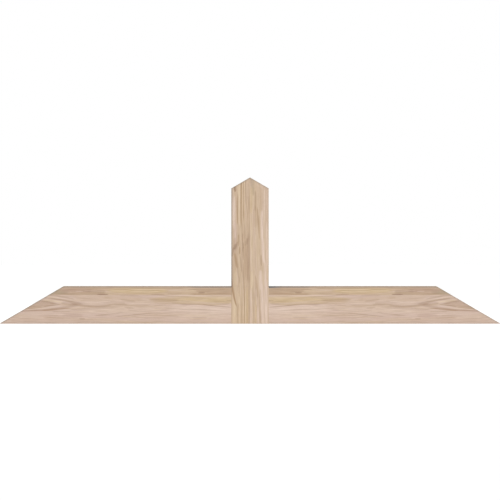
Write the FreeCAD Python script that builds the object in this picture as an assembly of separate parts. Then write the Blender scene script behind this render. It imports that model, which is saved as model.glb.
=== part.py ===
"""Decorative gable truss: a king post with half a tie chord on each side of it.

The tie chord's ends and the king post's head are cut to the roof pitch, so that all of them lie
under the two slopes of one gable. Every timber is glued up from two boards. Two hidden dowels run
through the king post into both half chords and hold the three timbers together. The outer edges are
eased once the truss is together, so the joints stay flush and square.

Frame, in millimetres: +X along the span, +Y from the front face towards the wall, +Z up.
The origin is the middle of the underside.
"""

import FreeCAD, Part
import os
from FreeCAD import Vector

# Gable that the truss fits under
SPAN = 1828.8           # underside of the tie chord, tip to tip
PITCH_RISE = 7.0        # the roof rises this much
PITCH_RUN = 12.0        # over this run

# Timbers
TIMBER_DEPTH = 88.9     # front face to back face, the same for every timber
CHORD_FACE = 136.5      # height of the tie chord
POST_FACE = 136.5       # width of the king post
CAP_BOARD = 31.0        # thickness of the board glued along the top of the tie chord
ARRIS_RADIUS = 3.2      # easing of the edges round the front and back faces

# Hidden dowels
DOWEL_NAMES = ("lower_dowel", "upper_dowel")
DOWEL_DIAMETER = 19.05
DOWEL_BITE = 100.0      # length of dowel inside each half chord
DOWEL_NOSE = 2.0        # chamfer on a dowel's ends
GLUE_ROOM = 0.15        # clearance round a dowel
BORE_END_ROOM = 3.0     # clearance past a dowel's end

# Worked out from the sizes above
HALF_SPAN = SPAN / 2
PITCH = PITCH_RISE / PITCH_RUN
POST_SIDE = POST_FACE / 2
CHORD_SEAM = CHORD_FACE - CAP_BOARD
FRONT = -TIMBER_DEPTH / 2
BACK = TIMBER_DEPTH / 2
BORE_DIAMETER = DOWEL_DIAMETER + 2 * GLUE_ROOM
DOWEL_REACH = POST_SIDE + DOWEL_BITE
DOWEL_SPACING = CHORD_SEAM / len(DOWEL_NAMES)

SAME_PLACE = 1e-4       # two coordinates this close are one


def roof_height(x):
    """Height of the roof slope above the underside, at a distance x from the middle."""
    return (HALF_SPAN - abs(x)) * PITCH


def roof_reach(z):
    """Distance from the middle to the roof slope, at height z."""
    return HALF_SPAN - z / PITCH


def truss_outline():
    """Corners of the whole truss on its front face, as (x, z)."""
    left = [
        (-HALF_SPAN, 0),
        (-roof_reach(CHORD_FACE), CHORD_FACE),
        (-POST_SIDE, CHORD_FACE),
        (-POST_SIDE, roof_height(POST_SIDE)),
    ]
    right = [(-x, z) for x, z in reversed(left)]
    return left + [(0, roof_height(0))] + right


def round_a_face(edge):
    """Whether an edge lies in the truss's front face or in its back face."""
    ys = [vertex.Point.y for vertex in edge.Vertexes]
    return any(all(abs(y - face) < SAME_PLACE for y in ys) for face in (FRONT, BACK))


def eased_truss():
    """The whole truss in one, with the edges round its front and back faces eased."""
    corners = [Vector(x, FRONT, z) for x, z in truss_outline()]
    front_face = Part.Face(Part.makePolygon(corners + corners[:1]))
    blank = front_face.extrude(Vector(0, TIMBER_DEPTH, 0))
    return blank.makeFillet(ARRIS_RADIUS, [edge for edge in blank.Edges if round_a_face(edge)])


def board(truss, left, right, bottom, top):
    """The board of the truss that lies between two places along the span and two heights."""
    room = Part.makeBox(right - left, TIMBER_DEPTH, top - bottom, Vector(left, FRONT, bottom))
    return truss.common(room)


def rod_along_x(diameter, reach, z):
    """A round rod along the span, centred on the king post, that ends at x = -reach and x = reach."""
    return Part.makeCylinder(diameter / 2, 2 * reach, Vector(-reach, 0, z), Vector(1, 0, 0))


def dowel_height(index):
    """Height of a dowel's axis: the dowels share out the chord's lower board evenly."""
    return (index + 0.5) * DOWEL_SPACING


def bored(solid):
    """The board with the dowels' bores cut out of it, where they pass through it."""
    reach = DOWEL_REACH + BORE_END_ROOM
    bores = [rod_along_x(BORE_DIAMETER, reach, dowel_height(i)) for i in range(len(DOWEL_NAMES))]
    return solid.cut(bores)


def dowel(index):
    """A dowel with chamfered ends."""
    rod = rod_along_x(DOWEL_DIAMETER, DOWEL_REACH, dowel_height(index))
    ends = [edge for edge in rod.Edges if edge.isClosed()]
    return rod.makeChamfer(DOWEL_NOSE, ends)


def mirrored(solid):
    """The same board for the other side of the truss."""
    return solid.mirror(Vector(0, 0, 0), Vector(1, 0, 0))


def build():
    """Every piece of the truss, by name."""
    truss = eased_truss()
    left = {
        "king_post_{}_board": bored(board(truss, -POST_SIDE, 0, 0, roof_height(0))),
        "{}_chord_lower_board": bored(board(truss, -HALF_SPAN, -POST_SIDE, 0, CHORD_SEAM)),
        "{}_chord_upper_board": board(truss, -HALF_SPAN, -POST_SIDE, CHORD_SEAM, CHORD_FACE),
    }
    pieces = {}
    for name, solid in left.items():
        pieces[name.format("left")] = solid
        pieces[name.format("right")] = mirrored(solid)
    for index, name in enumerate(DOWEL_NAMES):
        pieces[name] = dowel(index)
    return pieces


os.makedirs("parts", exist_ok=True)
for piece_name, shape in build().items():
    shape.exportStep(f"parts/{piece_name}.step")
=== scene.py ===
"""Looks of a decorative gable truss: glued-up boards of pale planed softwood in a white studio.

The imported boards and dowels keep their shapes. This script gives each of them its wood, and adds the
floor, the light and a camera that looks straight at the front face. Lengths are in metres, apart from
the sizes and places in the grain, which are in millimetres.
"""

import logging
import math
from collections.abc import Mapping
from dataclasses import dataclass
from enum import Enum
from typing import Any, Union

import bmesh
import bpy
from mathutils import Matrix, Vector


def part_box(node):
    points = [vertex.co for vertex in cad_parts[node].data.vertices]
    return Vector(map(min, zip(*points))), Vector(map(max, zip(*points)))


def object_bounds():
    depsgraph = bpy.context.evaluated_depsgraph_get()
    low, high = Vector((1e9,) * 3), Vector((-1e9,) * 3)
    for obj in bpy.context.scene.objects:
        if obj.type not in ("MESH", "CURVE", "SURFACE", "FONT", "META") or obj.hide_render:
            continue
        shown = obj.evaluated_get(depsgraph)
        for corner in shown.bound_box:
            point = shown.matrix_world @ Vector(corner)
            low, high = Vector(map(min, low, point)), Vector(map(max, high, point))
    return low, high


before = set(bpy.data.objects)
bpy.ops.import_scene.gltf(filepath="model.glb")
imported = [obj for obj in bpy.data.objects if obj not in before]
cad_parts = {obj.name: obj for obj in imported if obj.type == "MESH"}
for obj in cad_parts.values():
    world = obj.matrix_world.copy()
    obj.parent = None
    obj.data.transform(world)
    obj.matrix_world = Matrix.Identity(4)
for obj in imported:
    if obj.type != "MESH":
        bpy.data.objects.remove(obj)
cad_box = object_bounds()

log = logging.getLogger("gable_truss")

MM = 1000.0                     # millimetres in a metre

Colour = tuple[float, float, float, float]
Term = Union["Field", float]


def srgb(red: int, green: int, blue: int) -> Colour:
    """Turns a colour as a screen shows it into the linear one that shaders take.

    Args:
        red: Red, from 0 to 255.
        green: Green, from 0 to 255.
        blue: Blue, from 0 to 255.

    Returns:
        The linear colour, opaque.
    """
    shares = (channel / 255 for channel in (red, green, blue))
    linear = [s / 12.92 if s <= 0.04045 else ((s + 0.055) / 1.055) ** 2.4 for s in shares]
    return (linear[0], linear[1], linear[2], 1.0)


def grey(brightness: float) -> Colour:
    """A neutral colour of a given brightness."""
    return (brightness, brightness, brightness, 1.0)


# Shader maths

# A Mix node's number, vector and colour sockets share their names, so its colour sockets go by number
MIX_SHARE = 0
MIX_FIRST = 6
MIX_SECOND = 7
MIX_RESULT = 2

NOISE_MIDDLE = 0.5              # about which soft noise varies


class Blend(Enum):
    """How one colour is laid over another, in a Mix node's own words."""

    COVER = "MIX"
    MULTIPLY = "MULTIPLY"


class Field:
    """A number that varies over a surface, held by a node socket.

    Sums on fields read as Python sums, and each of them adds the node that does it.
    """

    def __init__(self, bench: "Bench", socket: bpy.types.NodeSocket) -> None:
        """Wraps a socket of the bench's nodes."""
        self.bench = bench
        self.socket = socket

    def __add__(self, other: Term) -> "Field":
        """This field plus another."""
        return self.bench.maths("ADD", self, other)

    def __radd__(self, other: Term) -> "Field":
        """Another number plus this field."""
        return self.bench.maths("ADD", other, self)

    def __sub__(self, other: Term) -> "Field":
        """This field less another."""
        return self.bench.maths("SUBTRACT", self, other)

    def __rsub__(self, other: Term) -> "Field":
        """Another number less this field."""
        return self.bench.maths("SUBTRACT", other, self)

    def __mul__(self, other: Term) -> "Field":
        """This field times another."""
        return self.bench.maths("MULTIPLY", self, other)

    def __rmul__(self, other: Term) -> "Field":
        """Another number times this field."""
        return self.bench.maths("MULTIPLY", other, self)

    def __truediv__(self, other: Term) -> "Field":
        """This field divided by another."""
        return self.bench.maths("DIVIDE", self, other)

    def __rtruediv__(self, other: Term) -> "Field":
        """Another number divided by this field."""
        return self.bench.maths("DIVIDE", other, self)

    def __pow__(self, power: float) -> "Field":
        """This field raised to a power."""
        return self.bench.maths("POWER", self, power)

    def __abs__(self) -> "Field":
        """This field without its sign."""
        return self.bench.maths("ABSOLUTE", self)

    def apply(self, operation: str, *others: Term) -> "Field":
        """Any other sum that a Math node does on this field, such as SQRT or MINIMUM."""
        return self.bench.maths(operation, self, *others)

    def lifted(self, least: float) -> "Field":
        """This field, from 0 to 1, with its 0 lifted to a least value and its 1 kept."""
        return self * (1.0 - least) + least

    def ramp(self, low: Term, high: Term, smooth: bool = True) -> "Field":
        """Rises from 0 to 1 as this field goes from one value to another, which may be the lower one.

        Args:
            low: Value at which the result is 0.
            high: Value at which the result is 1.
            smooth: Whether the rise eases in and out.

        Returns:
            The result, which stays at 0 or 1 outside those values.
        """
        settings = {"interpolation_type": "SMOOTHSTEP" if smooth else "LINEAR", "clamp": True}
        inputs = {"Value": self, "From Min": low, "From Max": high}
        return self.bench.field("ShaderNodeMapRange", settings, inputs)


class Bench:
    """The nodes of one material or world, and the one place where they are made."""

    def __init__(self, tree: bpy.types.NodeTree) -> None:
        """Clears a node tree to start afresh."""
        tree.nodes.clear()
        self.tree = tree

    def node(
        self,
        kind: str,
        settings: Mapping[str, Any] | None = None,
        inputs: Mapping[str | int, Any] | None = None,
    ) -> bpy.types.Node:
        """Makes a node.

        Args:
            kind: The node's type.
            settings: The node's own settings, set before its sockets.
            inputs: Value or field for each socket, by the socket's name or number.

        Returns:
            The node.
        """
        made = self.tree.nodes.new(kind)
        for name, setting in (settings or {}).items():
            setattr(made, name, setting)
        for name, value in (inputs or {}).items():
            if isinstance(value, Field):
                self.tree.links.new(value.socket, made.inputs[name])
            else:
                made.inputs[name].default_value = value
        return made

    def field(
        self,
        kind: str,
        settings: Mapping[str, Any] | None = None,
        inputs: Mapping[str | int, Any] | None = None,
        output: str | int = 0,
    ) -> Field:
        """Makes a node and gives one of its outputs.

        Args:
            kind: The node's type.
            settings: The node's own settings.
            inputs: Value or field for each socket.
            output: Name or number of the output.

        Returns:
            The output as a field.
        """
        return Field(self, self.node(kind, settings, inputs).outputs[output])

    def parts(self, vector: Field) -> tuple[Field, Field, Field]:
        """Splits a vector into its X, Y and Z."""
        split = self.node("ShaderNodeSeparateXYZ", None, {0: vector})
        return tuple(Field(self, output) for output in split.outputs)

    def maths(self, operation: str, *terms: Term) -> Field:
        """One sum on numbers."""
        return self.field("ShaderNodeMath", {"operation": operation}, dict(enumerate(terms)))

    def mix(
        self,
        share: Term,
        first: Field | Colour,
        second: Field | Colour,
        blend: Blend = Blend.COVER,
    ) -> Field:
        """Lays one colour over another.

        Args:
            share: How much of the second colour goes in, from 0 to 1.
            first: First colour.
            second: Second colour.
            blend: How the second colour is laid over the first.

        Returns:
            The mixed colour.
        """
        settings = {"data_type": "RGBA", "blend_type": blend.value, "clamp_factor": True}
        inputs = {MIX_SHARE: share, MIX_FIRST: first, MIX_SECOND: second}
        return self.field("ShaderNodeMix", settings, inputs, MIX_RESULT)

    def noise(self, place: Field, detail: float, roughness: float = 0.5) -> Field:
        """Soft noise, about one lump to each unit of the place given.

        Args:
            place: Where to read the noise, as a vector.
            detail: How many finer layers are added.
            roughness: How strong the finer layers are.

        Returns:
            The noise, from 0 to 1 and mostly near the middle.
        """
        inputs = {"Vector": place, "Scale": 1.0, "Detail": detail, "Roughness": roughness}
        return self.field("ShaderNodeTexNoise", {"noise_dimensions": "3D"}, inputs)

    def finish(self, shader: bpy.types.Node, kind: str = "ShaderNodeOutputMaterial") -> None:
        """Joins the last shader to the tree's output."""
        output = self.node(kind)
        self.tree.links.new(shader.outputs[0], output.inputs["Surface"])


# The truss and its grain

SWELL_PEAK = 4.0                # brings a streak's swell up to 1 in the middle of its length
SWELL_WHOLE = 0.5               # swell from which a streak is no longer fading out towards its end


@dataclass(frozen=True)
class TrussSizes:
    """The sizes of the truss that its looks depend on, in millimetres.

    Attributes:
        half_span: From the middle of the truss to a tip.
        post_side: From the middle of the truss to a side of the post.
        chord_seam: Height of the seam between the chord's boards.
        chord_top: Height of the chord's top.
        apex: Height of the post's apex.
        front: Where the front face lies from front to back.
        depth: From the front face to the back one.
    """

    half_span: float
    post_side: float
    chord_seam: float
    chord_top: float
    apex: float
    front: float
    depth: float

    @classmethod
    def from_frame(cls) -> "TrussSizes":
        """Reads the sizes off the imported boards.

        Returns:
            The sizes.
        """
        chord_low, chord_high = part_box("right_chord_lower_board")
        cap_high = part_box("right_chord_upper_board")[1]
        post_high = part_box("king_post_right_board")[1]
        return cls(
            half_span=chord_high.x * MM,
            post_side=chord_low.x * MM,
            chord_seam=chord_high.z * MM,
            chord_top=cap_high.z * MM,
            apex=post_high.z * MM,
            front=chord_low.y * MM,
            depth=(chord_high.y - chord_low.y) * MM,
        )


class GrainWay(Enum):
    """Which way the fibres of a board run."""

    ALONG_SPAN = "along the span, counted from the nearer tip"
    UPRIGHT = "upright, counted from the underside"


class Tone(Enum):
    """The tones that this wood's grain is made of, from the lightest to the darkest, and the grey of
    painted shade.
    """

    PALE = srgb(226, 205, 190)
    CREAM = srgb(224, 203, 174)
    BLUSH = srgb(213, 190, 176)
    STRAW = srgb(208, 185, 158)
    GOLD = srgb(208, 184, 146)
    TAN = srgb(199, 173, 147)
    RUSSET = srgb(184, 156, 138)
    OLIVE = srgb(166, 149, 125)
    LATE = srgb(172, 145, 122)
    AMBER = srgb(162, 129, 94)
    # Painted shade, not a tone of the wood: the grey laid on the eased edges, the rims beside them and
    # the corner by the post
    HANDLED = srgb(112, 110, 110)
    KNOT = srgb(128, 95, 70)


@dataclass(frozen=True)
class Pith:
    """Where the middle of the log lay, and how wide its growth rings are.

    Attributes:
        across: Its place across the board.
        ahead: How far in front of the front face it lay, at the start of the grain.
        taper: How much further away it lies for each millimetre along the grain.
        ring_width: Width of the rings.
    """

    across: float
    ahead: float
    taper: float
    ring_width: float


@dataclass(frozen=True)
class Streak:
    """A soft spindle of another tone, drawn out along the grain near the front and back faces.

    Attributes:
        tone: The tone that it leans to.
        start: Where it starts, as (along, across).
        end: Where it ends, as (along, across).
        width: Half its width.
        strength: How far it leans to its tone, from 0 to 1.
        bow: How far its middle stands off a straight line.
    """

    tone: Tone
    start: tuple[float, float]
    end: tuple[float, float]
    width: float
    strength: float
    bow: float = 0.0

    def body(self, along: Field, across: Field) -> Field:
        """Finds how far a point lies inside the spindle.

        Args:
            along: The point's place along the grain.
            across: Its place across the grain.

        Returns:
            The share, from 0 to 1, which fades out towards the sides and the ends.
        """
        (first, low), (last, high) = self.start, self.end
        passed = along.ramp(first, last, smooth=False)
        swell = passed * (1.0 - passed) * SWELL_PEAK
        line = passed * (high - low) + low
        if self.bow:
            line = line + swell * self.bow
        return abs(across - line).ramp(swell ** 0.5 * self.width, 0.0) * swell.ramp(0.0, SWELL_WHOLE)


@dataclass(frozen=True)
class Band:
    """A growth ring of another tone.

    Attributes:
        tone: The tone that it leans to.
        inner: Where it starts, counted along the grain on the pith's line.
        outer: Where it ends, counted the same way.
        fade: How far it fades out on either side.
        strength: How far it leans to its tone, from 0 to 1.
    """

    tone: Tone
    inner: float
    outer: float
    fade: float
    strength: float

    def body(self, along: Field) -> Field:
        """How far a point lies inside the ring, from 0 to 1, by its place on the pith's line."""
        inside = along.ramp(self.inner - self.fade, self.inner)
        return inside * along.ramp(self.outer + self.fade, self.outer)


@dataclass(frozen=True)
class BoardPlan:
    """How one board was cut from its log, and what shows in its faces.

    Attributes:
        name: Name of the wood.
        way: Which way its fibres run.
        length: Length of its fibres, about which the streaks of the back face are turned end for end.
        ground: Its main tone.
        drift: The tone of its long soft patches.
        drift_share: How strong those patches are, from 0 to 1.
        line_strength: How dark its late wood is, from 0 to 1.
        sway: How far its fibres sway from side to side.
        pith: Where the middle of its log lay.
        bands: Growth rings that stand out.
        streaks: Streaks that stand out.
    """

    name: str
    way: GrainWay
    length: float
    ground: Tone
    drift: Tone
    drift_share: float
    line_strength: float
    sway: float
    pith: Pith
    bands: tuple[Band, ...] = ()
    streaks: tuple[Streak, ...] = ()


LOWER_CHORD = BoardPlan(
    name="lower_chord_wood",
    way=GrainWay.ALONG_SPAN,
    length=1060.0,
    ground=Tone.BLUSH,
    drift=Tone.STRAW,
    drift_share=0.5,
    line_strength=0.5,
    sway=8.0,
    pith=Pith(across=72.0, ahead=60.0, taper=0.027, ring_width=3.6),
    bands=(
        Band(Tone.AMBER, -400, 196, 20, 0.32),
        Band(Tone.PALE, 224, 240, 14, 0.18),
        Band(Tone.LATE, 272, 292, 18, 0.45),
        Band(Tone.PALE, 325, 360, 28, 0.4),
    ),
    streaks=(
        # Broad changes of tone
        Streak(Tone.PALE, (225, 95), (470, 90), 15, 0.15),
        Streak(Tone.TAN, (370, 96), (530, 88), 16, 0.45),
        Streak(Tone.GOLD, (530, 90), (1010, 84), 22, 0.75),
        Streak(Tone.RUSSET, (130, 22), (245, 24), 15, 0.25),
        Streak(Tone.PALE, (65, 24), (170, 21), 8, 0.5),
        Streak(Tone.TAN, (262, 97), (420, 92), 15, 0.4),
        Streak(Tone.TAN, (212, 70), (266, 69), 9, 0.6),
        Streak(Tone.OLIVE, (-120, 3), (1020, 3), 12, 0.18),
        Streak(Tone.PALE, (600, 55), (960, 48), 26, 0.9),
        Streak(Tone.PALE, (640, 29), (910, 29), 14, 0.5),
        Streak(Tone.PALE, (312, 44), (520, 46), 16, 0.45),
        Streak(Tone.PALE, (470, 56), (575, 52), 13, 0.35),
        Streak(Tone.RUSSET, (225, 30), (310, 28), 15, 0.35),
        # Inside the eye of the cathedral
        Streak(Tone.LATE, (92, 60), (160, 60), 4.5, 0.3),
        Streak(Tone.LATE, (180, 74), (226, 69.5), 3.4, 0.7),
        Streak(Tone.LATE, (158, 61.5), (222, 69), 3.8, 0.7),
        Streak(Tone.LATE, (146, 82), (188, 77), 3.2, 0.55),
        # Round the eye
        Streak(Tone.LATE, (175, 93.5), (280, 80), 4.6, 0.5),
        Streak(Tone.LATE, (203, 101), (278, 90), 5, 0.55),
        Streak(Tone.TAN, (258, 87), (322, 85), 4.5, 0.45),
        Streak(Tone.LATE, (170, 103), (226, 101), 3, 0.5),
        Streak(Tone.TAN, (250, 102.5), (312, 102.5), 2.6, 0.4),
        Streak(Tone.CREAM, (165, 96), (222, 94.5), 3, 0.5),
        Streak(Tone.CREAM, (155, 85), (238, 77), 5.5, 0.7),
        Streak(Tone.RUSSET, (50, 46.5), (266, 57), 5.2, 0.95, -2.5),
        Streak(Tone.AMBER, (150, 48), (266, 57.2), 4.8, 0.45, -1.2),
        Streak(Tone.LATE, (222, 74.5), (288, 70), 9.5, 0.42),
        Streak(Tone.LATE, (190, 44), (262, 44.5), 2.6, 0.55),
        Streak(Tone.TAN, (235, 54), (322, 57), 7, 0.5),
        Streak(Tone.TAN, (288, 63), (362, 60), 7, 0.45),
        Streak(Tone.CREAM, (260, 58), (312, 60), 2.6, 0.45),
        Streak(Tone.LATE, (255, 50.5), (335, 57), 3, 0.45),
        # The tail of the cathedral
        Streak(Tone.LATE, (256, 76), (420, 69.5), 8.5, 0.55, -9),
        Streak(Tone.TAN, (305, 74), (372, 73), 6, 0.4),
        Streak(Tone.PALE, (350, 79), (410, 80), 5, 0.5),
        Streak(Tone.LATE, (390, 70), (470, 69), 3.6, 0.5),
        Streak(Tone.LATE, (450, 67), (552, 67), 4.4, 0.35),
        # A pin knot and the grain bent round it
        Streak(Tone.LATE, (438, 88), (500, 82), 5.5, 0.45),
        Streak(Tone.LATE, (436, 102.5), (515, 102.5), 2.6, 0.5),
        Streak(Tone.PALE, (456, 75), (494, 74), 4.6, 0.6),
        Streak(Tone.LATE, (454, 61), (492, 56), 6, 0.4),
        Streak(Tone.LATE, (468, 50), (512, 45), 4, 0.3),
        # Thin lines under the tail
        Streak(Tone.PALE, (165, 33), (246, 33), 2.4, 0.5),
        Streak(Tone.LATE, (160, 29), (218, 29.5), 2.2, 0.4),
        Streak(Tone.LATE, (342, 28), (458, 42), 2.8, 0.55),
        Streak(Tone.PALE, (362, 37), (434, 39), 2.4, 0.4),
        Streak(Tone.LATE, (418, 26), (570, 40), 2.8, 0.55),
        Streak(Tone.CREAM, (440, 25.5), (540, 25.7), 2.6, 0.6),
        Streak(Tone.PALE, (420, 34), (488, 34.5), 2.8, 0.5),
        Streak(Tone.PALE, (572, 33.5), (665, 33.5), 2.8, 0.45),
        Streak(Tone.PALE, (462, 18.6), (532, 18.6), 2.4, 0.4),
        Streak(Tone.PALE, (585, 18.6), (640, 18.6), 2.4, 0.4),
        Streak(Tone.CREAM, (430, 7.8), (500, 7.8), 2.4, 0.5),
        Streak(Tone.LATE, (478, 28), (548, 20), 2.4, 0.4),
        Streak(Tone.LATE, (290, 17.5), (314, 17.5), 4.2, 0.55),
        # The second cathedral
        Streak(Tone.TAN, (552, 79), (665, 75), 13, 0.5),
        Streak(Tone.LATE, (540, 88), (660, 85), 8.5, 0.5),
        Streak(Tone.LATE, (600, 91), (700, 94), 3.4, 0.3),
        Streak(Tone.LATE, (624, 76), (686, 72), 3.8, 0.6),
        Streak(Tone.GOLD, (630, 76), (820, 69), 7, 0.5),
        Streak(Tone.LATE, (645, 70.6), (795, 67.6), 3.4, 0.7),
        Streak(Tone.LATE, (735, 69), (855, 59.5), 3.2, 0.65),
        Streak(Tone.GOLD, (650, 88), (1010, 84), 17, 0.6),
        Streak(Tone.PALE, (640, 102.5), (780, 102.5), 2.6, 0.7),
        Streak(Tone.BLUSH, (540, 99), (610, 98), 5, 0.6),
        Streak(Tone.PALE, (705, 89.5), (765, 89.5), 3.6, 0.35),
        Streak(Tone.LATE, (826, 84), (860, 84), 4.4, 0.5),
        # Thin lines under the second cathedral
        Streak(Tone.LATE, (560, 64), (610, 69), 2.6, 0.4),
        Streak(Tone.CREAM, (550, 52), (596, 51), 2.6, 0.5),
        Streak(Tone.LATE, (552, 30.5), (660, 29), 2.4, 0.45),
        Streak(Tone.PALE, (690, 57), (790, 55), 3.2, 0.65),
        Streak(Tone.LATE, (650, 52.6), (830, 47), 2.4, 0.55, 1.2),
        Streak(Tone.LATE, (600, 57), (690, 52), 2.6, 0.4),
        Streak(Tone.LATE, (680, 40.8), (770, 40.4), 2.2, 0.25),
        Streak(Tone.PALE, (685, 36.8), (790, 36.8), 3, 0.75),
        Streak(Tone.LATE, (752, 33), (872, 33), 2.3, 0.5),
        Streak(Tone.LATE, (700, 22.5), (762, 22), 2.5, 0.5),
        Streak(Tone.CREAM, (690, 18.4), (770, 18.4), 2.5, 0.6),
        Streak(Tone.CREAM, (665, 29.3), (790, 29.5), 2.5, 0.5),
        Streak(Tone.PALE, (800, 29.5), (890, 29.5), 2.8, 0.75),
        Streak(Tone.CREAM, (722, 7.8), (790, 7.8), 2.4, 0.5),
    ),
)

UPPER_CHORD = BoardPlan(
    name="upper_chord_wood",
    way=GrainWay.ALONG_SPAN,
    length=1020.0,
    ground=Tone.TAN,
    drift=Tone.STRAW,
    drift_share=0.7,
    line_strength=0.48,
    sway=5.0,
    pith=Pith(across=330.0, ahead=20.0, taper=0.004, ring_width=4.8),
    streaks=(
        # Broad changes of tone
        Streak(Tone.OLIVE, (130, 112), (262, 117), 18, 0.7),
        Streak(Tone.RUSSET, (215, 121), (345, 120), 19, 0.8),
        Streak(Tone.LATE, (312, 118), (392, 116), 15, 0.6),
        Streak(Tone.GOLD, (385, 122), (625, 119), 18, 0.9),
        Streak(Tone.STRAW, (600, 121), (730, 121), 16, 0.6),
        Streak(Tone.LATE, (700, 121), (1010, 121), 24, 0.45),
        # Streaks of the russet part
        Streak(Tone.LATE, (246, 124), (284, 124), 3.2, 0.6),
        Streak(Tone.PALE, (276, 117.5), (308, 117.5), 3, 0.45),
        Streak(Tone.PALE, (306, 119.4), (400, 119.4), 3.6, 0.3),
        Streak(Tone.LATE, (185, 107.5), (405, 107.5), 4.6, 0.6),
        # The knot on the seam, and the gold part
        Streak(Tone.KNOT, (354, 106.6), (400, 106.6), 4.2, 0.7),
        Streak(Tone.CREAM, (402, 120.6), (478, 120.6), 3, 0.6),
        Streak(Tone.LATE, (412, 124.5), (476, 124.5), 2.4, 0.45),
        Streak(Tone.CREAM, (468, 124.6), (618, 124.4), 2.6, 0.75),
        Streak(Tone.LATE, (478, 128.4), (695, 128.2), 2.6, 0.5),
        Streak(Tone.CREAM, (470, 117), (590, 117), 3, 0.75),
        Streak(Tone.LATE, (472, 121.7), (605, 121.5), 2.4, 0.55),
        Streak(Tone.LATE, (435, 105), (502, 105), 3, 0.6),
        Streak(Tone.LATE, (550, 107), (605, 107), 2.8, 0.6),
        # The plain part and the brown part
        Streak(Tone.PALE, (612, 120.6), (690, 120.6), 3.4, 0.45),
        Streak(Tone.LATE, (610, 108.5), (668, 108.5), 2.6, 0.5),
        Streak(Tone.CREAM, (675, 119.5), (722, 119), 4.4, 0.45),
        Streak(Tone.LATE, (684, 124.2), (732, 124.2), 2.8, 0.6),
        Streak(Tone.KNOT, (724, 112.6), (752, 112.6), 3.6, 0.5),
        Streak(Tone.LATE, (720, 123.5), (850, 123.5), 2.6, 0.55),
        Streak(Tone.AMBER, (682, 107.6), (880, 107), 4.2, 0.65),
        # Painted shade along the top of the chord as it nears the post, where the post shades it
        Streak(Tone.HANDLED, (670, 135), (1000, 135), 7, 0.45),
        Streak(Tone.HANDLED, (695, 132.5), (790, 132.5), 3.6, 0.3),
    ),
)

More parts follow.
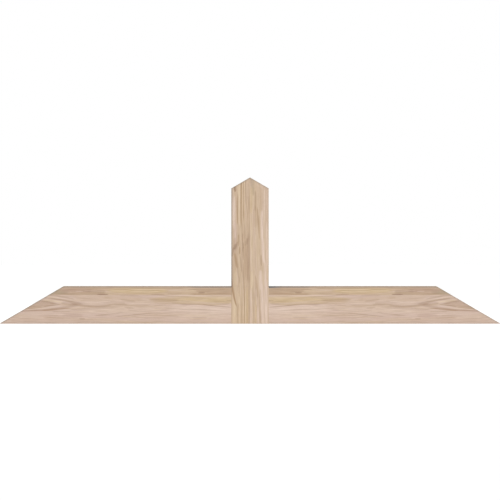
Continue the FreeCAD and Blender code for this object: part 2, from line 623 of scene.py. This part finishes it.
LEFT_POST = BoardPlan(
    name="left_post_wood",
    way=GrainWay.UPRIGHT,
    length=530.0,
    ground=Tone.STRAW,
    drift=Tone.TAN,
    drift_share=0.6,
    line_strength=0.5,
    sway=3.5,
    pith=Pith(across=-320.0, ahead=30.0, taper=0.006, ring_width=5.2),
    streaks=(
        # Broad changes of tone
        Streak(Tone.PALE, (475, -59), (340, -58), 10, 0.95),
        Streak(Tone.BLUSH, (372, -55), (298, -54), 12, 0.8),
        Streak(Tone.TAN, (345, -20), (140, -16), 26, 0.6),
        Streak(Tone.LATE, (335, -6), (140, -4), 17, 0.5),
        Streak(Tone.CREAM, (95, -58), (-60, -56), 14, 0.75),
        Streak(Tone.GOLD, (140, -10.5), (-30, -10.5), 8, 0.6),
        # Straight lines down from the head
        Streak(Tone.KNOT, (508, -57.5), (479, -54.5), 6.5, 0.7),
        Streak(Tone.CREAM, (525, -42), (462, -41), 7, 0.7),
        Streak(Tone.CREAM, (510, -39), (345, -38.5), 5, 1),
        Streak(Tone.AMBER, (560, -31.5), (342, -32), 5, 0.75),
        Streak(Tone.CREAM, (560, -27.5), (365, -27), 2.8, 0.7),
        Streak(Tone.AMBER, (560, -23.5), (362, -23.5), 3.2, 0.6),
        Streak(Tone.CREAM, (560, -20), (395, -20), 2.8, 0.65),
        Streak(Tone.LATE, (560, -16), (425, -16), 3, 0.6),
        Streak(Tone.AMBER, (472, -46.5), (355, -45.5), 3.6, 0.75),
        # Lines between the head and the knots
        Streak(Tone.LATE, (372, -29), (300, -29), 2.8, 0.55),
        Streak(Tone.LATE, (370, -19.5), (300, -19), 2.8, 0.55),
        Streak(Tone.LATE, (520, -3), (-60, -1.5), 4, 0.55),
        Streak(Tone.LATE, (335, -27.5), (258, -27), 3.8, 0.75),
        Streak(Tone.LATE, (284, -24), (228, -24), 3.8, 0.6),
        Streak(Tone.KNOT, (314, -11), (286, -11), 4, 0.45),
        Streak(Tone.KNOT, (304, -18), (280, -18), 3, 0.4),
        Streak(Tone.KNOT, (298, -25), (272, -24), 3, 0.4),
        Streak(Tone.AMBER, (310, -17.5), (160, -17), 2.8, 0.5),
        Streak(Tone.AMBER, (300, -9.5), (150, -9), 2.8, 0.3),
        # Two knots cut along their side, and the dark edge below them
        Streak(Tone.RUSSET, (318, -54), (258, -56), 14, 0.45),
        Streak(Tone.RUSSET, (280, -60), (185, -57), 12, 0.25),
        Streak(Tone.AMBER, (328, -41.5), (280, -42.5), 6, 0.5),
        Streak(Tone.KNOT, (301, -44), (268, -59), 8, 0.3),
        Streak(Tone.KNOT, (293, -52), (269, -54), 13, 0.28),
        Streak(Tone.KNOT, (281, -59), (243, -66), 8, 0.4),
        Streak(Tone.AMBER, (283, -38), (252, -38), 3.6, 0.75),
        Streak(Tone.AMBER, (262, -57), (198, -44.5), 9.5, 0.55),
        Streak(Tone.CREAM, (256, -43), (202, -38), 5, 0.3),
        Streak(Tone.LATE, (252, -37), (184, -29), 3.6, 0.65),
        Streak(Tone.KNOT, (250, -67.5), (95, -66.5), 6, 0.3),
        Streak(Tone.CREAM, (196, -53), (138, -50), 9, 0.35),
        Streak(Tone.LATE, (174, -40), (146, -37.5), 2.8, 0.6),
        Streak(Tone.LATE, (206, -45), (166, -41), 4.4, 0.45),
        Streak(Tone.AMBER, (172, -66.5), (56, -46.5), 5.6, 0.85, -5),
        Streak(Tone.AMBER, (82, -47), (-50, -43.5), 4.4, 0.15),
        # Lines below the knots
        Streak(Tone.CREAM, (138, -44), (66, -42), 5.5, 0.5),
        Streak(Tone.CREAM, (110, -38), (-50, -37), 5, 0.85),
        Streak(Tone.LATE, (280, -29.5), (176, -29), 2.8, 0.6),
        Streak(Tone.LATE, (230, -23.5), (115, -23.5), 2.8, 0.6),
        Streak(Tone.AMBER, (160, -20.5), (-50, -20.5), 3.2, 0.65),
        Streak(Tone.AMBER, (88, -28.4), (-50, -28.4), 3.4, 0.45),
        Streak(Tone.CREAM, (110, -24), (-50, -24), 2.8, 0.75),
        Streak(Tone.CREAM, (130, -16), (-50, -16), 3.4, 0.75),
    ),
)

RIGHT_POST = BoardPlan(
    name="right_post_wood",
    way=GrainWay.UPRIGHT,
    length=530.0,
    ground=Tone.STRAW,
    drift=Tone.BLUSH,
    drift_share=0.45,
    line_strength=0.42,
    sway=5.0,
    pith=Pith(across=420.0, ahead=30.0, taper=0.01, ring_width=7.4),
    streaks=(
        # Pale wood along the seam
        Streak(Tone.CREAM, (380, 3.5), (250, 3.5), 4.6, 0.6),
        Streak(Tone.PALE, (280, 4.5), (180, 6.5), 6, 0.3),
        Streak(Tone.CREAM, (195, 6.5), (122, 5.5), 6.5, 0.75),
        Streak(Tone.PALE, (138, 3.5), (-30, 3.5), 5.5, 0.8),
        # Under the head
        Streak(Tone.OLIVE, (560, 5), (462, 12), 13, 0.5),
        Streak(Tone.GOLD, (505, 4), (395, 4), 14, 0.6),
        Streak(Tone.LATE, (490, 19), (405, 19), 6, 0.6),
        Streak(Tone.TAN, (505, 39), (400, 40), 13, 0.48),
        Streak(Tone.RUSSET, (500, 60), (410, 61), 8, 0.25),
        Streak(Tone.PALE, (500, 53), (390, 53), 3.6, 0.65),
        Streak(Tone.AMBER, (436, 18), (345, 19), 13, 0.25),
        Streak(Tone.AMBER, (432, 26), (300, 35), 6, 0.5),
        # The long pale flame
        Streak(Tone.PALE, (420, 43.5), (295, 44), 8.5, 0.95),
        Streak(Tone.PALE, (322, 46), (215, 50), 9, 1),
        Streak(Tone.PALE, (240, 53), (140, 57.5), 9, 0.65),
        Streak(Tone.PALE, (168, 55), (88, 57), 7, 0.6),
        Streak(Tone.TAN, (412, 11), (322, 11), 4, 0.5),
        Streak(Tone.TAN, (308, 18), (192, 18.5), 4.4, 0.45),
        Streak(Tone.LATE, (254, 40), (208, 40.5), 4.4, 0.65),
        Streak(Tone.PALE, (382, 60.5), (190, 61.5), 7, 0.65),
        # Below it
        Streak(Tone.PALE, (200, 38), (118, 40), 12, 0.9),
        Streak(Tone.AMBER, (182, 20), (90, 27), 7, 0.4),
        Streak(Tone.LATE, (128, 13.5), (-40, 13), 4.6, 0.4),
        Streak(Tone.PALE, (132, 21), (62, 23), 6, 0.45),
        Streak(Tone.PALE, (70, 28.5), (-60, 31), 5.5, 0.6),
        Streak(Tone.GOLD, (110, 20), (-30, 20), 7, 0.5),
        Streak(Tone.PALE, (162, 43), (-40, 48), 12, 1),
        Streak(Tone.LATE, (128, 32), (-30, 41.5), 3.6, 0.5),
        Streak(Tone.PALE, (175, 59), (-60, 60), 10, 0.95),
    ),
)

DOWEL = BoardPlan(
    name="dowel_wood",
    way=GrainWay.ALONG_SPAN,
    length=900.0,
    ground=Tone.TAN,
    drift=Tone.LATE,
    drift_share=0.4,
    line_strength=0.3,
    sway=3.0,
    pith=Pith(across=160.0, ahead=40.0, taper=0.0, ring_width=2.4),
)


# Finishes

FAR = 1000.0                    # a distance in the grain that no rim reaches


@dataclass(frozen=True)
class GrainPlace:
    """Where a point lies in its board: along the fibres, across the face and deep behind it."""

    along: Field
    across: Field
    deep: Field


@dataclass(frozen=True)
class FaceTurn:
    """Which way a face looks.

    Attributes:
        right: How far it looks to the right, from -1 to 1.
        flat: How far it looks straight to the front or the back, from 0 to 1.
        end: How far it is end grain, from 0 to 1.
    """

    right: Field
    flat: Field
    end: Field


@dataclass(frozen=True)
class Mottle:
    """Noise drawn out along the fibres, and the mark that it leaves in the wood.

    Attributes:
        length: Length of its lumps along the fibres.
        width: Width of its lumps across the fibres.
        detail: How many finer layers are added.
        none: Noise at which there is no mark.
        whole: Noise at which the mark is whole.
        roughness: How strong the finer layers are.
    """

    length: float
    width: float
    detail: float
    none: float = 0.0
    whole: float = 1.0
    roughness: float = 0.5

    def noise(self, place: GrainPlace) -> Field:
        """Reads the noise at a place in the grain.

        Args:
            place: The point's place.

        Returns:
            The noise, from 0 to 1 and mostly near the middle.
        """
        bench = place.along.bench
        lumps = {
            "X": place.along / self.length,
            "Y": place.across / self.width,
            "Z": place.deep / self.width,
        }
        spot = bench.field("ShaderNodeCombineXYZ", None, lumps)
        return bench.noise(spot, self.detail, self.roughness)

    def mark(self, place: GrainPlace) -> Field:
        """How strong the mark is at a place in the grain, from 0 to 1."""
        return self.noise(place).ramp(self.none, self.whole)


@dataclass(frozen=True)
class WoodGrain:
    """The fine grain that all the boards share.

    Attributes:
        fibres: The fibres, with darker hollows between them.
        fibre_tint: What the colour of those hollows is multiplied by.
        flecks: Fine flecks of resin.
        fleck_share: How dark they are, from 0 to 1.
        sway: The way the fibres sway from side to side.
        patches: Long soft patches of a board's second tone.
        lights: Light streaks.
        light_share: How light they are, from 0 to 1.
        breaks: The way the streaks of a plan break up.
        broken_least: How much of a streak is left where it breaks up.
        wander: The way the growth rings wander.
        wander_rings: How far they wander, in rings.
        fading: The way late wood comes and goes along a ring.
        fading_least: How much of it is left where it goes.
        spell_rings: About how many rings a spell of strong or weak ones lasts.
        spell_bounds: Noise at which a spell is weakest, and at which it is strongest.
        spell_least: How much late wood is left in the weakest spell.
        year_least: How much late wood is left in the weakest single ring.
        late_starts: Share of a ring's width at which its late wood starts.
        late_whole: Share at which its late wood is darkest.
        late_ends: Share at which its late wood starts to end.
    """

    fibres: Mottle = Mottle(70.0, 1.3, detail=3.0, none=0.62, whole=0.38, roughness=0.6)
    fibre_tint: Colour = srgb(234, 230, 226)
    flecks: Mottle = Mottle(20.0, 0.8, detail=1.0, none=0.64, whole=0.74)
    fleck_share: float = 0.3
    sway: Mottle = Mottle(150.0, 55.0, detail=1.0)
    patches: Mottle = Mottle(330.0, 20.0, detail=2.0, none=0.38, whole=0.66)
    lights: Mottle = Mottle(190.0, 6.0, detail=2.0, none=0.48, whole=0.72)
    light_share: float = 0.35
    breaks: Mottle = Mottle(80.0, 4.0, detail=2.0, none=0.25, whole=0.6)
    broken_least: float = 0.7
    wander: Mottle = Mottle(420.0, 40.0, detail=1.0)
    wander_rings: float = 1.2
    fading: Mottle = Mottle(260.0, 18.0, detail=2.0, none=0.35, whole=0.65)
    fading_least: float = 0.4
    spell_rings: float = 5.0
    spell_bounds: tuple[float, float] = (0.35, 0.6)
    spell_least: float = 0.4
    year_least: float = 0.25
    late_starts: float = 0.3
    late_whole: float = 0.85
    late_ends: float = 0.9


@dataclass(frozen=True)
class PlanedSurface:
    """How the boards were planed and eased, and the shade painted along their edges: what all their
    finishes share.

    A face's turn is how far it looks to the front or the back, from 0 to 1. A pair of turns gives the
    one at which a mark starts to show and the one at which it is whole.

    Attributes:
        roughness: Roughness of the early wood.
        late_gloss: How much smoother the late wood is.
        specular: Strength of the sheen.
        fibre_depth: Relief of the fibres and the late wood, in metres.
        fibre_strength: How much of that relief shows.
        fibre_share: Share of that relief which the fibres make.
        shallow: Depth below a face down to which its streaks are whole.
        deep: Depth below a face at which its streaks have faded out.
        rim_turns: Turns of the faces on which the rim of painted shade along the edges shows.
        rim_reach: How far that rim reaches in from the edges.
        rim_strength: How dark it is below the level top edges and beside the post's left edge.
        rim_at_cuts: How dark it is below the sloping cuts.
        rim_below: How dark it is above the underside.
        corner_reach: How far the painted shade in the corner on the right of the post reaches along the
            chord.
        corner_power: How steeply it fades over that reach, as a power.
        corner_strength: How much darker the rim and the eased edge are in that corner.
        arris_outer: Turns of an eased edge, coming from the top or a side.
        arris_inner: Turns of an eased edge, coming from the front or the back.
        arris_strength: How dark the painted shade on the eased edges is.
        arris_left: How much darker they are where they look to the left, away from the light.
        end_bounds: How far a face looks along the fibres to start being end grain, and to be all of it.
        end_strength: How dark end grain is.
        end_lines: How dark the late wood is in end grain.
    """

    roughness: float = 0.62
    late_gloss: float = 0.1
    specular: float = 0.3
    fibre_depth: float = 0.00025
    fibre_strength: float = 0.25
    fibre_share: float = 0.7
    shallow: float = 12.0
    deep: float = 34.0
    rim_turns: tuple[float, float] = (0.7, 0.95)
    rim_reach: float = 9.0
    rim_strength: float = 0.42
    rim_at_cuts: float = 0.26
    rim_below: float = 0.06
    corner_reach: float = 60.0
    corner_power: float = 2.0
    corner_strength: float = 2.2
    arris_outer: tuple[float, float] = (0.05, 0.35)
    arris_inner: tuple[float, float] = (0.98, 0.8)
    arris_strength: float = 0.08
    arris_left: float = 0.4
    end_bounds: tuple[float, float] = (0.25, 0.6)
    end_strength: float = 0.3
    end_lines: float = 0.7


@dataclass(frozen=True)
class TimberFinish:
    """The wood of one board, as a material.

    Attributes:
        plan: How the board was cut, and what shows in its faces.
        sizes: Sizes of the truss.
        grain: The fine grain.
        surface: The planed surface.
    """

    plan: BoardPlan
    sizes: TrussSizes
    grain: WoodGrain = WoodGrain()
    surface: PlanedSurface = PlanedSurface()

    def material(self) -> bpy.types.Material:
        """Makes the material.

        Returns:
            The material, ready for the board's slot.
        """
        made = bpy.data.materials.new(self.plan.name)
        made.use_nodes = True
        bench = Bench(made.node_tree)
        place, turn = self._place(bench), self._turn(bench)
        fibre = self.grain.fibres.noise(place)
        swayed = self._swayed(place)
        reach = self._reach(swayed)
        late = self._late_wood(bench, swayed, reach)

        colour = self._ground(bench, swayed)
        colour = bench.mix(late * self.plan.line_strength, colour, Tone.LATE.value)
        colour = self._banded(bench, colour, reach)
        colour = self._streaked(bench, colour, swayed)
        colour = self._fibred(bench, colour, place, fibre)
        colour = self._end_grain(bench, colour, turn, late)
        # Painted shade along the edges and in the corner by the post
        colour = self._painted_edge_shade(bench, colour, turn)

        surface = self.surface
        relief = {
            "Strength": surface.fibre_strength,
            "Distance": surface.fibre_depth,
            "Height": fibre * surface.fibre_share + late * (1.0 - surface.fibre_share),
        }
        inputs = {
            "Base Color": colour,
            "Roughness": surface.roughness - late * surface.late_gloss,
            "Specular IOR Level": surface.specular,
            "Normal": bench.field("ShaderNodeBump", None, relief),
        }
        bench.finish(bench.node("ShaderNodeBsdfPrincipled", None, inputs))
        return made

    def _spot(self, bench: Bench) -> tuple[Field, Field, Field]:
        """Finds the point's own place in the truss's frame.

        Args:
            bench: Where the nodes go.

        Returns:
            Its X, Y and Z, in millimetres.
        """
        spot = bench.field("ShaderNodeTexCoord", None, None, "Object")
        scaled = bench.field("ShaderNodeVectorMath", {"operation": "SCALE"}, {0: spot, "Scale": MM})
        return bench.parts(scaled)

    def _place(self, bench: Bench) -> GrainPlace:
        """Finds the point's place in the grain: the two half chords mirror each other.

        Args:
            bench: Where the nodes go.

        Returns:
            The place.
        """
        x, y, z = self._spot(bench)
        deep = y - self.sizes.front
        if self.plan.way is GrainWay.ALONG_SPAN:
            return GrainPlace(self.sizes.half_span - abs(x), z, deep)
        return GrainPlace(z, x, deep)

    def _turn(self, bench: Bench) -> FaceTurn:
        """Finds which way the face looks.

        Args:
            bench: Where the nodes go.

        Returns:
            The face's turn.
        """
        right, ahead, up = bench.parts(bench.field("ShaderNodeNewGeometry", None, None, "Normal"))
        along_fibres = right if self.plan.way is GrainWay.ALONG_SPAN else up
        return FaceTurn(right, abs(ahead), abs(along_fibres).ramp(*self.surface.end_bounds))

    def _swayed(self, place: GrainPlace) -> GrainPlace:
        """The place among fibres that sway gently from side to side."""
        sway = (self.grain.sway.noise(place) - NOISE_MIDDLE) * self.plan.sway
        return GrainPlace(place.along, place.across + sway, place.deep)

    def _reach(self, place: GrainPlace) -> Field:
        """How much further than the front face a point lies from the pith.

        Args:
            place: The point's place.

        Returns:
            The distance.
        """
        pith = self.plan.pith
        aside = place.across - pith.across
        behind = place.deep + pith.ahead + place.along * pith.taper
        return (aside * aside + behind * behind).apply("SQRT") - pith.ahead

    def _late_wood(self, bench: Bench, place: GrainPlace, reach: Field) -> Field:
        """The dark late wood of the growth rings: it comes on slowly and ends sharply.

        Args:
            bench: Where the nodes go.
            place: The point's place.
            reach: How far out in the log it lies.

        Returns:
            How late the wood is, from 0 to 1.
        """
        grain = self.grain
        rings = reach / self.plan.pith.ring_width + grain.wander.noise(place) * grain.wander_rings
        whole_rings = {"W": rings.apply("FLOOR")}
        year = bench.field("ShaderNodeTexWhiteNoise", {"noise_dimensions": "1D"}, whole_rings, "Value")
        spells = bench.field("ShaderNodeCombineXYZ", None, {"X": rings / grain.spell_rings})
        spell = bench.noise(spells, 0.0).ramp(*grain.spell_bounds)
        dark = year.lifted(grain.year_least) * spell.lifted(grain.spell_least)
        dark = dark * grain.fading.mark(place).lifted(grain.fading_least)
        season = rings.apply("FRACT")
        coming = season.ramp(grain.late_starts, grain.late_whole)
        return coming * season.ramp(1.0, grain.late_ends) * dark

    def _ground(self, bench: Bench, place: GrainPlace) -> Field:
        """The board's main tone with its long soft patches and light streaks.

        Args:
            bench: Where the nodes go.
            place: The point's place.

        Returns:
            The colour.
        """
        plan, grain = self.plan, self.grain
        patches = grain.patches.mark(place) * plan.drift_share
        colour = bench.mix(patches, plan.ground.value, plan.drift.value)
        return bench.mix(grain.lights.mark(place) * grain.light_share, colour, Tone.PALE.value)

    def _banded(self, bench: Bench, colour: Field, reach: Field) -> Field:
        """Adds the growth rings that stand out.

        Args:
            bench: Where the nodes go.
            colour: The colour so far.
            reach: How far out in the log the point lies.

        Returns:
            The colour with the rings.
        """
        if not self.plan.bands:
            return colour
        along = reach / self.plan.pith.taper
        for band in self.plan.bands:
            colour = bench.mix(band.body(along) * band.strength, colour, band.tone.value)
        return colour

    def _streaked(self, bench: Bench, colour: Field, place: GrainPlace) -> Field:
        """Adds the streaks, which lie near the front face and, turned end for end, near the back one.

        Args:
            bench: Where the nodes go.
            colour: The colour so far.
            place: The point's place.

        Returns:
            The colour with the streaks.
        """
        if not self.plan.streaks:
            return colour
        grain, surface, depth = self.grain, self.surface, self.sizes.depth
        behind = place.deep.apply("GREATER_THAN", depth / 2)
        along = place.along + behind * (self.plan.length - place.along * 2.0)
        cover = place.deep.apply("MINIMUM", depth - place.deep)
        unbroken = grain.breaks.mark(place).lifted(grain.broken_least)
        presence = cover.ramp(surface.deep, surface.shallow) * unbroken
        for streak in self.plan.streaks:
            share = streak.body(along, place.across) * presence * streak.strength
            colour = bench.mix(share, colour, streak.tone.value)
        return colour

    def _fibred(self, bench: Bench, colour: Field, place: GrainPlace, fibre: Field) -> Field:
        """Darkens the hollows between the fibres, and adds fine resin flecks.

        Args:
            bench: Where the nodes go.
            colour: The colour so far.
            place: The point's place.
            fibre: The noise of the fibres.

        Returns:
            The colour with its fibres.
        """
        grain = self.grain
        hollows = fibre.ramp(grain.fibres.none, grain.fibres.whole)
        colour = bench.mix(hollows, colour, bench.mix(1.0, colour, grain.fibre_tint, Blend.MULTIPLY))
        return bench.mix(grain.flecks.mark(place) * grain.fleck_share, colour, Tone.LATE.value)

    def _end_grain(self, bench: Bench, colour: Field, turn: FaceTurn, late: Field) -> Field:
        """Darkens end grain and draws its rings.

        Args:
            bench: Where the nodes go.
            colour: The colour so far.
            turn: Which way the face looks.
            late: How late the wood is.

        Returns:
            The colour with its end grain.
        """
        colour = bench.mix(turn.end * self.surface.end_strength, colour, Tone.LATE.value)
        return bench.mix(turn.end * late * self.surface.end_lines, colour, Tone.KNOT.value)

    def _painted_edge_shade(self, bench: Bench, colour: Field, turn: FaceTurn) -> Field:
        """Paints shade on the eased edges and the rims beside them, and in the corner on the right of
        the post.

        Args:
            bench: Where the nodes go.
            colour: The colour so far.
            turn: Which way the face looks.

        Returns:
            The finished colour.
        """
        sizes, surface = self.sizes, self.surface
        x, _, z = self._spot(bench)
        # Painted shade in the corner between the chord's top and the right side of the post
        corner_shade = self._corner(x, z) * surface.corner_strength
        # Painted shade on the eased edges, darker on those that look left, away from the light, and in
        # the corner by the post
        arris = turn.flat.ramp(*surface.arris_outer) * turn.flat.ramp(*surface.arris_inner)
        arris_shade = corner_shade + surface.arris_strength - turn.right * surface.arris_left
        colour = bench.mix(arris * arris_shade, colour, Tone.HANDLED.value)

        slope = math.atan2(sizes.apex, sizes.half_span)
        from_cut = (sizes.half_span - abs(x)) * math.sin(slope) - z * math.cos(slope)
        if self.plan.way is GrainWay.ALONG_SPAN:
            from_edge = sizes.chord_top - z
        else:
            glued = z.ramp(sizes.chord_top, 0.0)
            from_edge = x + sizes.post_side + glued * FAR
        rims = (
            (from_edge, corner_shade + surface.rim_strength),
            (from_cut, surface.rim_at_cuts),
            (z, surface.rim_below),
        )
        # Painted shade in rims below the top edges, beside the post's left edge, below the sloping cuts
        # and above the underside
        for distance, strength in rims:
            shade = distance.ramp(surface.rim_reach, 0.0) * turn.flat.ramp(*surface.rim_turns)
            colour = bench.mix(shade * strength, colour, Tone.HANDLED.value)
        return colour

    def _corner(self, x: Field, z: Field) -> Term:
        """How far into the corner between the chord's top and the right side of the post a point lies,
        for the shade painted there.

        Args:
            x: The point's place along the span.
            z: Its height.

        Returns:
            The share, from 0 to 1, which is 0 all over the post and the chord's lower boards.
        """
        if self.plan.way is GrainWay.UPRIGHT:
            return 0.0
        side, surface = self.sizes.post_side, self.surface
        near = x.ramp(side + surface.corner_reach, side, smooth=False) ** surface.corner_power
        return near * x.apply("GREATER_THAN", 0.0) * z.apply("GREATER_THAN", self.sizes.chord_seam)


@dataclass(frozen=True)
class FloorFinish:
    """A white floor, lit through from below as on a studio's light table.

    Attributes:
        albedo: Share of the light that it throws back.
        glow: Strength of its own light.
    """

    albedo: float = 0.9
    glow: float = 0.44

    def material(self) -> bpy.types.Material:
        """Makes the material.

        Returns:
            The material, ready for the floor's slot.
        """
        made = bpy.data.materials.new("white_floor")
        made.use_nodes = True
        bench = Bench(made.node_tree)
        inputs = {
            "Base Color": grey(self.albedo),
            "Roughness": 1.0,
            "Specular IOR Level": 0.0,
            "Emission Color": grey(1.0),
            "Emission Strength": self.glow,
        }
        bench.finish(bench.node("ShaderNodeBsdfPrincipled", None, inputs))
        return made


# Sub-assemblies


class Side(Enum):
    """The two sides of the truss, as seen from the front."""

    LEFT = "left"
    RIGHT = "right"


def dress(node: str, material: bpy.types.Material) -> None:
    """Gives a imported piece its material.

    Args:
        node: Name of the piece.
        material: Its material.
    """
    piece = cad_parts[node]
    piece.data.materials.clear()
    piece.data.materials.append(material)
    log.info("%s: dressed in %s", node, material.name)


@dataclass(frozen=True)
class KingPost:
    """The upright timber, glued up from a left and a right board."""

    left: TimberFinish
    right: TimberFinish
    slot: str = "post_timber"

    def dress(self) -> None:
        """Dresses both boards."""
        for side, finish in ((Side.LEFT, self.left), (Side.RIGHT, self.right)):
            dress(f"king_post_{side.value}_board", finish.material())


@dataclass(frozen=True)
class TieChord:
    """The level timber: two half chords, each glued up from a lower and an upper board."""

    lower: TimberFinish
    upper: TimberFinish
    lower_slot: str = "chord_timber"
    upper_slot: str = "cap_timber"

    def dress(self) -> None:
        """Dresses the boards of both half chords, which share their wood."""
        lower, upper = self.lower.material(), self.upper.material()
        for side in Side:
            dress(f"{side.value}_chord_lower_board", lower)
            dress(f"{side.value}_chord_upper_board", upper)


@dataclass(frozen=True)
class DowelPair:
    """The hidden dowels that hold the timbers together."""

    finish: TimberFinish
    names: tuple[str, ...] = ("lower_dowel", "upper_dowel")
    slot: str = "dowel_wood"

    def dress(self) -> None:
        """Dresses the dowels."""
        wood = self.finish.material()
        for name in self.names:
            dress(name, wood)


@dataclass(frozen=True)
class SoftBox:
    """A large soft lamp that points at the middle of the truss.

    Attributes:
        name: Name of the lamp.
        place: Where it hangs.
        width: Its width.
        height: Its height.
        power: Its power in watts.
    """

    name: str
    place: tuple[float, float, float]
    width: float
    height: float
    power: float

    def build(self, target: Vector) -> None:
        """Makes the lamp.

        Args:
            target: What it points at.
        """
        lamp = bpy.data.lights.new(self.name, "AREA")
        lamp.shape = "RECTANGLE"
        lamp.size, lamp.size_y = self.width, self.height
        lamp.energy = self.power
        box = bpy.data.objects.new(self.name, lamp)
        box.location = self.place
        box.rotation_mode = "QUATERNION"
        box.rotation_quaternion = (target - Vector(self.place)).to_track_quat("-Z", "Y")
        box.visible_camera = False
        bpy.context.scene.collection.objects.link(box)


@dataclass(frozen=True)
class Studio:
    """White floor, white surroundings that dim towards the ceiling, soft lamps and a straight view.

    Attributes:
        floor: Finish of the floor.
        floor_reach: Half the floor's side.
        floor_squares: How many squares the floor has along a side.
        floor_drop: How far the floor lies below the underside.
        horizon: Brightness of the surroundings at the horizon.
        ceiling: Brightness of the surroundings overhead.
        dimming: Where they start to dim and where they are dimmest, from 0, level, to 1, overhead.
        lens: Focal length in millimetres: long, so that the view is almost square on.
        sensor: Width of the camera's sensor in millimetres.
        sight: How far the camera sees.
        framed_share: Share of the span that the picture takes in: the tips just leave it.
        aim_rise: How far above the middle of the truss the camera looks.
        lamps: The lamps.
    """

    floor: FloorFinish = FloorFinish()
    floor_reach: float = 60.0
    floor_squares: int = 4
    floor_drop: float = 0.0002
    horizon: float = 1.0
    ceiling: float = 0.55
    dimming: tuple[float, float] = (0.12, 0.8)
    lens: float = 300.0
    sensor: float = 36.0
    sight: float = 240.0
    framed_share: float = 0.997
    aim_rise: float = 0.002
    lamps: tuple[SoftBox, ...] = (
        SoftBox("front_softbox", (1.2, -5.0, 2.4), 4.0, 2.4, 45.0),
        SoftBox("back_softbox", (-1.2, 5.0, 2.6), 4.0, 2.4, 30.0),
    )

    def build(self, low: Vector, high: Vector) -> None:
        """Builds the studio round the truss.

        Args:
            low: The truss's lowest corner.
            high: The truss's highest corner.
        """
        scene = bpy.context.scene
        scene.view_settings.view_transform = "Standard"
        self._floor(low.z)
        self._surroundings(scene)
        for lamp in self.lamps:
            lamp.build((low + high) / 2)
        scene.camera = self._camera(low, high)

    def _floor(self, height: float) -> None:
        """Lays the floor just under the truss.

        Args:
            height: Height of the truss's underside.
        """
        mesh = bpy.data.meshes.new("floor")
        shape = bmesh.new()
        squares = self.floor_squares
        bmesh.ops.create_grid(shape, x_segments=squares, y_segments=squares, size=self.floor_reach)
        shape.to_mesh(mesh)
        shape.free()
        mesh.materials.append(self.floor.material())
        floor = bpy.data.objects.new("floor", mesh)
        floor.location.z = height - self.floor_drop
        bpy.context.scene.collection.objects.link(floor)

    def _surroundings(self, scene: bpy.types.Scene) -> None:
        """Makes surroundings that are white at the horizon and dimmer overhead.

        Args:
            scene: The scene that they surround.
        """
        scene.world = bpy.data.worlds.new("white_surroundings")
        scene.world.use_nodes = True
        bench = Bench(scene.world.node_tree)
        height = bench.parts(bench.field("ShaderNodeTexCoord", None, None, "Generated"))[2]
        light = bench.mix(height.ramp(*self.dimming), grey(self.horizon), grey(self.ceiling))
        glow = bench.node("ShaderNodeBackground", None, {"Color": light})
        bench.finish(glow, "ShaderNodeOutputWorld")

    def _camera(self, low: Vector, high: Vector) -> bpy.types.Object:
        """Sets up the camera so that the front face fills the picture's width.

        Args:
            low: The truss's lowest corner.
            high: The truss's highest corner.

        Returns:
            The camera.
        """
        data = bpy.data.cameras.new("straight_view")
        data.lens, data.sensor_width = self.lens, self.sensor
        data.clip_end = self.sight
        distance = (high.x - low.x) * self.framed_share * self.lens / self.sensor
        camera = bpy.data.objects.new("straight_view", data)
        middle = (low + high) / 2
        camera.location = (middle.x, low.y - distance, middle.z + self.aim_rise)
        camera.rotation_euler = (math.pi / 2, 0.0, 0.0)
        bpy.context.scene.collection.objects.link(camera)
        return camera


def main() -> None:
    """Dresses the truss, piece by piece, and builds the studio round it."""
    logging.basicConfig(level=logging.INFO, format="%(name)s: %(message)s")
    sizes = TrussSizes.from_frame()
    KingPost(TimberFinish(LEFT_POST, sizes), TimberFinish(RIGHT_POST, sizes)).dress()
    TieChord(TimberFinish(LOWER_CHORD, sizes), TimberFinish(UPPER_CHORD, sizes)).dress()
    DowelPair(TimberFinish(DOWEL, sizes)).dress()
    Studio().build(*cad_box)


if __name__ == "__main__":
    main()
